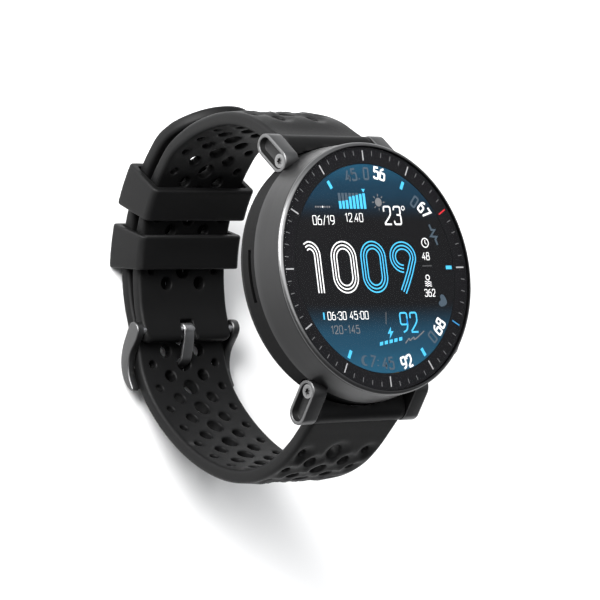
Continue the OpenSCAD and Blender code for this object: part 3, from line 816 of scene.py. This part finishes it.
def build_tongue():
    """A bent flat pin that narrows at its end, with an eye round the hinge bar."""
    b = Build()
    line = Line(catmull(TONGUE_LINE, 6))
    half_w, half_t, edge = TONGUE_W / 2, TONGUE_T / 2, 0.16
    section = []
    for cx, ch, start in ((half_w - edge, half_t - edge, 0), (-half_w + edge, half_t - edge, 90),
                          (-half_w + edge, -half_t + edge, 180), (half_w - edge, -half_t + edge, 270)):
        for k in range(4):
            a = math.radians(start + 30 * k)
            section.append((cx + edge * math.cos(a), ch + edge * math.sin(a)))
    rows = []
    for s in np.linspace(0, line.length, 60):
        p, n = line.at(s)
        near = min(1.0, (line.length - s) / 0.5)
        shrink = 0.55 + 0.45 * math.sqrt(max(0.0, 1 - (1 - near) ** 2))
        rows.append([(x * (0.75 + 0.25 * shrink), *(p + n * h * shrink)) for x, h in section])
    b.stack([list(reversed(r)) for r in rows])
    eye = []
    for x, r in ((-half_w, 1.05), (-half_w + 0.15, 1.2), (half_w - 0.15, 1.2), (half_w, 1.05)):
        eye.append([(x, HINGE[0] + r * math.cos(t), HINGE[1] + r * math.sin(t))
                    for t in np.linspace(0, 2 * math.pi, 36, endpoint=False)])
    b.stack(eye)
    # the tongue wears the lighter, painted-light copy of the satin metal
    add_mesh("tongue_painted_light", b.points, b.faces, FINISH["tongue"], "tongue", ["buckle_tongue"],
             sharp=50)


build_buckle()
build_tongue()


# ---- dial graphics ----

def circle_points(centre, radius, count):
    turn = np.linspace(0, 2 * math.pi, count, endpoint=False)
    return [(centre[0] + radius * math.cos(t), centre[1] + radius * math.sin(t)) for t in turn]


class Drawing:
    """Flat strokes and fills in the display plane, sorted by colour."""

    def __init__(self, name, z):
        self.name = name
        self.z = z
        self.layers = {}

    def fill(self, colour, points):
        b = self.layers.setdefault(colour, Build())
        area = sum(p[0] * q[1] - q[0] * p[1] for p, q in zip(points, points[1:] + points[:1]))
        if area < 0:
            points = list(reversed(points))
        b.faces.append(tuple(b.add([(x, y, self.z) for x, y in points])))

    def stroke(self, colour, points, width, closed=False):
        p = np.asarray(points, float)
        n = len(p)
        sides = []
        for i in range(n):
            before = p[i] - p[i - 1] if (closed or i > 0) else p[1] - p[0]
            after = p[(i + 1) % n] - p[i] if (closed or i < n - 1) else p[i] - p[i - 1]
            a, c = unit(before), unit(after)
            na, nc = np.array([-a[1], a[0]]), np.array([-c[1], c[0]])
            m = unit(na + nc)
            sides.append(m * width / 2 / max(0.5, m @ na))
        sides = np.array(sides)
        b = self.layers.setdefault(colour, Build())
        left = b.add([(x, y, self.z) for x, y in p + sides])
        right = b.add([(x, y, self.z) for x, y in p - sides])
        for i in range(n if closed else n - 1):
            j = (i + 1) % n
            b.faces.append((right[i], right[j], left[j], left[i]))

    def disc(self, colour, centre, radius, count=24):
        self.fill(colour, circle_points(centre, radius, count))

    def ring(self, colour, centre, radius, width, count=28):
        self.stroke(colour, circle_points(centre, radius, count), width, closed=True)

    def finish(self):
        for colour, b in self.layers.items():
            add_mesh(f"{self.name}_{colour}", b.points, b.faces, PRINT[colour], "watch")


def cut_corners(points, closed, rounds=3):
    """Chaikin smoothing of a coarse line."""
    p = [np.array(q, float) for q in points]
    for _ in range(rounds):
        out = [] if closed else [p[0]]
        for i in range(len(p) if closed else len(p) - 1):
            a, c = p[i], p[(i + 1) % len(p)]
            out += [a * 0.75 + c * 0.25, a * 0.25 + c * 0.75]
        if not closed:
            out.append(p[-1])
        p = out
    return p


OVAL = [(0, .3), (0, .7), (0, 1), (.3, 1), (.6, 1), (.6, .7), (.6, .3), (.6, 0), (.3, 0), (0, 0)]
BOWL = [(0, .3), (0, .6), (.3, .6), (.6, .6), (.6, .3), (.6, 0), (.3, 0), (0, 0)]
HOOK = [(0, .3), (0, .68), (.12, .9), (.42, 1)]
# strokes of each numeral in a box 0.6 wide and 1 high, as (points, smooth, closed)
GLYPHS = {
    "0": [(OVAL, True, True)],
    "1": [([(.1, .8), (.36, 1), (.36, 0)], False, False)],
    "2": [([(.02, .72), (.02, 1), (.3, 1), (.58, 1), (.58, .74), (.58, .52), (.02, .04)], True, False),
          ([(0, 0), (.6, 0)], False, False)],
    "3": [([(.02, .8), (.05, 1), (.3, 1), (.58, 1), (.58, .76), (.58, .53), (.25, .53)], True, False),
          ([(.25, .53), (.6, .53), (.6, .26), (.6, 0), (.3, 0), (.04, 0), (.01, .2)], True, False)],
    "4": [([(.44, 1), (0, .3), (.62, .3)], False, False), ([(.44, .6), (.44, 0)], False, False)],
    "5": [([(.56, 1), (.06, 1), (.03, .55)], False, False),
          ([(.03, .52), (.12, .66), (.36, .64), (.6, .62), (.6, .3), (.6, 0), (.3, 0), (.04, 0), (.01, .18)],
           True, False)],
    "6": [(BOWL, True, True), (HOOK, True, False)],
    "7": [([(0, 1), (.6, 1), (.2, 0)], False, False)],
    "8": [([(.05, .77), (.05, 1), (.3, 1), (.55, 1), (.55, .77), (.55, .54), (.3, .54), (.05, .54)],
           True, True),
          ([(0, .27), (0, .54), (.3, .54), (.6, .54), (.6, .27), (.6, 0), (.3, 0), (0, 0)], True, True)],
    "9": [([(.6 - x, 1 - y) for x, y in BOWL], True, True),
          ([(.6 - x, 1 - y) for x, y in HOOK], True, False)],
    "/": [([(.05, -.05), (.45, 1.05)], False, False)],
    "-": [([(.1, .48), (.5, .48)], False, False)],
    ":": [([(.2, .2), (.2, .32)], False, False), ([(.2, .66), (.2, .78)], False, False)],
    ".": [([(.12, 0), (.12, .1)], False, False)],
    " ": [],
}
ADVANCE = {":": 0.42, ".": 0.28, " ": 0.5, "1": 0.72, "/": 0.62, "-": 0.7}


def write(drawing, colour, text, x, y, high, weight, angle=0.0, narrow=NARROW):
    """Numerals from a lower left corner, turned by an angle in degrees."""
    c, s = math.cos(math.radians(angle)), math.sin(math.radians(angle))
    pen = 0.0
    for char in text:
        for points, smooth, closed in GLYPHS[char]:
            pts = cut_corners(points, closed) if smooth else points
            out = []
            for px, py in pts:
                u, v = (pen + px * narrow) * high, py * high
                out.append((x + u * c - v * s, y + u * s + v * c))
            drawing.stroke(colour, out, weight, closed)
        pen += ADVANCE.get(char, ADVANCE_MOST) * narrow


def write_on_arc(drawing, colour, text, radius, middle, high, weight, flip=False):
    """Numerals along a circle about the dial's middle. flip stands them with their feet outwards."""
    step = ADVANCE_MOST * NARROW * high / radius
    n = len(text)
    for i, char in enumerate(text):
        shift = (i - (n - 1) / 2) * step
        a = math.radians(middle) + (shift if flip else -shift)
        turn = a + math.pi / 2 if flip else a - math.pi / 2
        c, s = math.cos(turn), math.sin(turn)
        u, v = -0.26 * high, -0.5 * high
        x = radius * math.cos(a) + u * c - v * s
        y = radius * math.sin(a) + u * s + v * c
        write(drawing, colour, char, x, y, high, weight, math.degrees(turn))


def radial_bar(drawing, colour, radius, degrees, length, width):
    a = math.radians(degrees)
    out, across = np.array([math.cos(a), math.sin(a)]), np.array([-math.sin(a), math.cos(a)])
    corners = ((-1, -1), (1, -1), (1, 1), (-1, 1))
    pts = [out * radius + out * u * length / 2 + across * v * width / 2 for u, v in corners]
    drawing.fill(colour, [tuple(p) for p in pts])


def shifted(points, amount):
    """A line moved sideways by an amount."""
    p = np.asarray(points, float)
    t = np.gradient(p, axis=0)
    t /= np.linalg.norm(t, axis=1)[:, None]
    return p + np.stack([-t[:, 1], t[:, 0]], -1) * amount


def hour_ring():
    ticks = Drawing("tick", PRINT_Z)
    for i in range(60):
        degrees = 90 - 6 * i
        if i % 5:
            radial_bar(ticks, "tick_dim", (TICK_OUT + MINUTE_IN) / 2, degrees, TICK_OUT - MINUTE_IN, 0.13)
            continue
        colour = {10: "tick_red", 20: "tick_blue"}.get(i, "tick_grey")
        radial_bar(ticks, colour, (TICK_OUT + HOUR_IN) / 2, degrees, TICK_OUT - HOUR_IN, 0.24)
    ticks.finish()


def big_time(face):
    """Hours and minutes in three parallel lines."""
    gap, line_w = 0.6, 0.24
    low, high = -4.1, 4.55
    steps = np.linspace(0, 2 * math.pi, 72, endpoint=False)
    for centre, colour in ((-7.1, "white"), (-0.45, "cyan")):
        for k in range(3):
            w, h = 2.75 - k * gap, (high - low) / 2 - k * gap
            pts = []
            for t in steps:
                arc_x = w * math.cos(t)
                arc_y = w * math.sin(t)
                pts.append((centre + arc_x, (low + high) / 2 + arc_y + math.copysign(h - w, math.sin(t))))
            face.stroke(colour, pts, line_w, closed=True)
    # the one rises straight and bends over into a flag
    stem_x, bend_y = -12.9, 2.2
    stem = [(stem_x, low), (stem_x, bend_y)]
    bend = [(stem_x - 1.65 * (1 - math.cos(a)), bend_y + 1.75 * math.sin(a))
            for a in np.radians(range(10, 91, 10))]
    flag = [(-14.9, 3.85), (-15.3, 3.6)]
    one = np.array(stem + bend + flag)
    for k in (-1, 0, 1):
        face.stroke("white", shifted(one, k * gap), line_w)
    # the bowl of the nine runs round from its open end and down into the leg
    middle = (6.35, 1.85)
    turns = np.radians(np.arange(-92, -375, -9))
    bowl = [(middle[0] + 2.3 * math.cos(a), middle[1] + 2.0 * math.sin(a)) for a in turns]
    leg = [(8.2, 0.6), (7.6, -0.7), (6.6, -2.5), (5.6, low)]
    nine = np.array(bowl + leg)
    for k in (-1, 0, 1):
        face.stroke("cyan", shifted(nine, k * gap), line_w)


def chart(face):
    """Rising bars with a dim part above the low ones, and a marker over the last."""
    left, low, step, bar_w, full_h = -6.75, 10.15, 0.78, 0.56, 2.7
    heights = [1.3, 1.35, 1.45, 2.05, 2.2, 2.35, 2.55, 2.65]
    for i, h in enumerate(heights):
        x = left + i * step + 0.06 * h
        top = low + h
        if h < 2.5:
            face.fill("dim", [(x, low + full_h), (x + bar_w, low + full_h), (x + bar_w, top), (x, top)])
        face.fill("cyan", [(x, low), (x + bar_w, low), (x + bar_w, top), (x, top)])
    face.fill("cyan", [(-0.85, 12.95), (-0.45, 13.55), (-1.25, 13.55)])


def turned(points, radius, degrees, lean=0.0, scale=1.0):
    """A sign moved out to a radius and turned with it."""
    a = math.radians(degrees)
    c, s = math.cos(a + lean), math.sin(a + lean)
    return [(radius * math.cos(a) + scale * (u * c - v * s), radius * math.sin(a) + scale * (u * s + v * c))
            for u, v in points]


def icons(face):
    """Plain signs in place of words."""
    # sun
    sun = np.array([2.3, 11.3])
    face.disc("grey", sun, 0.75)
    for k in range(8):
        a = math.radians(45 * k)
        d = np.array([math.cos(a), math.sin(a)])
        face.stroke("grey", [sun + d * 1.0, sun + d * 1.4], 0.16)
    # recovery clock
    clock = np.array([11.9, 4.3])
    face.ring("white", clock, 0.78, 0.17)
    face.stroke("white", [clock + (0, 0.5), clock, clock + (0.28, -0.25)], 0.16)
    # ripples under a drop
    drop = np.array([11.5, -1.7])
    face.ring("white", drop, 0.42, 0.16)
    for k in range(3):
        y = drop[1] - 0.75 - 0.34 * k
        wave = [(drop[0] - 0.75 + 0.15 * i, y + 0.1 * math.sin(i * 1.25)) for i in range(11)]
        face.stroke("white", wave, 0.13)
    # bolt and charge bars
    face.fill("cyan", [(1.6, -10.0), (0.7, -11.2), (1.3, -11.15), (1.0, -12.1), (2.1, -10.75), (1.5, -10.8)])
    for k in range(5):
        x, y = -1.4 + 1.12 * k, -13.2 + 0.18 * k
        face.fill("cyan", [(x, y), (x + 0.75, y + 0.12), (x + 0.85, y + 0.72), (x + 0.1, y + 0.6)])
    scribble = [(4.5, -12.9), (5.6, -11.9), (5.5, -12.6), (6.7, -11.7), (6.5, -12.5), (9.1, -10.9)]
    face.stroke("grey", cut_corners(scribble, False, 2), 0.2)
    # moon on the lower arc
    moon = np.array([-5.1, -15.6])
    outer = [(moon[0] + 0.9 * math.cos(a), moon[1] + 0.9 * math.sin(a))
             for a in np.radians(range(60, 301, 15))]
    inner = [(moon[0] + 0.42 + 0.72 * math.cos(a), moon[1] + 0.72 * math.sin(a))
             for a in np.radians(range(285, 74, -15))]
    face.fill("dim", outer + inner)
    # pulse line and heart on the right arc
    pulse = [(0.0, -1.9), (0.0, -0.9), (0.5, -0.6), (-0.7, 0.0), (0.7, 0.6), (0.0, 0.9), (0.0, 1.9)]
    face.stroke("dim", turned(pulse, 15.2, 22), 0.38)
    heart = [(0, -0.95), (0.95, 0.05), (0.85, 0.65), (0.4, 0.8), (0, 0.4), (-0.4, 0.8), (-0.85, 0.65),
             (-0.95, 0.05)]
    face.fill("dim", turned(cut_corners(heart, True, 2), 15.6, -22, math.pi / 2, 1.2))


def display():
    """The lit face: time in the middle, figures round it and numerals along the edge."""
    face = Drawing("display", GRAPHIC_Z)
    big_time(face)
    chart(face)
    icons(face)
    write(face, "white", "06/19", -12.9, 7.45, 1.5, 0.14)
    today = 3
    for day in range(7):
        face.disc("white" if day == today else "grey", (-11.9 + 0.5 * day, 10.45), 0.17, 12)
    write(face, "white", "12.40", -5.7, 7.95, 1.4, 0.14)
    write(face, "white", "23", 3.2, 7.5, 3.05, 0.29)
    face.ring("white", (7.75, 10.3), 0.34, 0.13)
    write(face, "white", "48", 10.9, 1.35, 1.25, 0.14)
    write(face, "white", "362", 10.4, -4.95, 1.2, 0.14)
    face.stroke("grey", [(10.6, 0.3), (12.8, 0.3)], 0.08)
    face.fill("cyan", [(-13.2, -8.55), (-12.9, -8.55), (-12.9, -7.35), (-13.2, -7.35)])
    write(face, "white", "06:30 45:00", -12.2, -8.6, 1.3, 0.13, narrow=0.87)
    write(face, "grey", "120-145", -11.9, -10.95, 1.3, 0.13, narrow=0.92)
    face.stroke("grey", [(0.9, -7.5), (0.6, -9.6)], 0.09)
    write(face, "cyan", "92", 3.95, -11.0, 3.3, 0.3, narrow=0.8)
    for radius, degrees, length in ((16.4, 120, 1.45), (16.4, 60, 1.45), (16.7, -120, 1.45),
                                    (16.7, -60, 1.45), (16.75, 0, 1.35)):
        radial_bar(face, "cyan", radius, degrees, length, 0.62)
    weights = {"white": 0.36, "dim": 0.34}
    edge_numbers = [("white", "56", 16.55, 78.5), ("dim", "45.0", 16.2, 96.5), ("white", "67", 16.1, 38.3),
                    ("dim", "0", 15.6, 47.0), ("white", "68", 16.3, -38.5), ("dim", "0", 16.2, -47.5),
                    ("white", "92", 16.6, -75.2), ("dim", "7:45", 16.2, -95.0)]
    for colour, text, radius, middle in edge_numbers:
        write_on_arc(face, colour, text, radius, middle, 1.9, weights[colour], flip=middle < 0)
    face.finish()


hour_ring()
display()


# ---- stage, light and camera ----

def area_light(name, place, target, size, power):
    data = bpy.data.lights.new(name, "AREA")
    data.shape = "RECTANGLE"
    data.size, data.size_y = size
    data.energy = power
    obj = placed(name, data)
    obj.location = place
    obj.rotation_euler = (Vector(target) - Vector(place)).to_track_quat("-Z", "Y").to_euler()


def floor():
    """A plain pale floor, 6 m square."""
    mesh = bpy.data.meshes.new("floor")
    r = 3.0
    mesh.from_pydata([(-r, -r, 0), (r, -r, 0), (r, r, 0), (-r, r, 0)], [], [(0, 1, 2, 3)])
    mesh.materials.append(material("floor_pale", (0.86, 0.86, 0.86), 0.9, specular=0.1, tone=0.004,
                                   tone_size=200.0, grain=3.0, grain_depth=0.0))
    placed("floor", mesh)


def studio():
    scene = bpy.context.scene
    scene.view_settings.view_transform = "Standard"
    world = bpy.data.worlds.new("studio")
    world.use_nodes = True
    background = world.node_tree.nodes["Background"]
    background.inputs["Color"].default_value = (0.95, 0.97, 1.0, 1)
    # the room is bright towards 12 o'clock and dim towards 6
    tree = world.node_tree
    place = node(tree, "ShaderNodeTexCoord")
    split = node(tree, "ShaderNodeSeparateXYZ")
    tree.links.new(place.outputs["Generated"], split.inputs[0])
    fade = node(tree, "ShaderNodeMapRange")
    fade.inputs["From Min"].default_value = -0.6
    fade.inputs["From Max"].default_value = 0.8
    fade.inputs["To Min"].default_value = 0.12
    fade.inputs["To Max"].default_value = 0.8
    tree.links.new(split.outputs["Y"], fade.inputs["Value"])
    tree.links.new(fade.outputs[0], background.inputs["Strength"])
    scene.world = world
    area_light("overhead", (-0.25, 0.25, 0.8), (0, 0, 0.03), (1.0, 1.0), 12.0)
    area_light("key", (-0.17, 0.11, 0.12), (-0.05, 0.035, 0.0), (0.12, 0.12), 1.2)


def camera():
    data = bpy.data.cameras.new("camera")
    data.sensor_width = 36.0
    data.lens = 204.617
    data.clip_start = 0.01
    data.clip_end = 20.0
    obj = placed("camera", data)
    right = Vector((0.754017, -0.120044, 0.645792))
    up = Vector((0.013627, 0.985806, 0.167336))
    back = Vector((-0.656713, -0.117374, 0.744950))
    eye = Vector(DIAL) + Vector((-386.244, -71.024, 417.819)) * MM
    turn = Matrix((right, up, back)).transposed().to_4x4()
    obj.matrix_world = Matrix.Translation(eye) @ turn
    bpy.context.scene.camera = obj


floor()
studio()
camera()
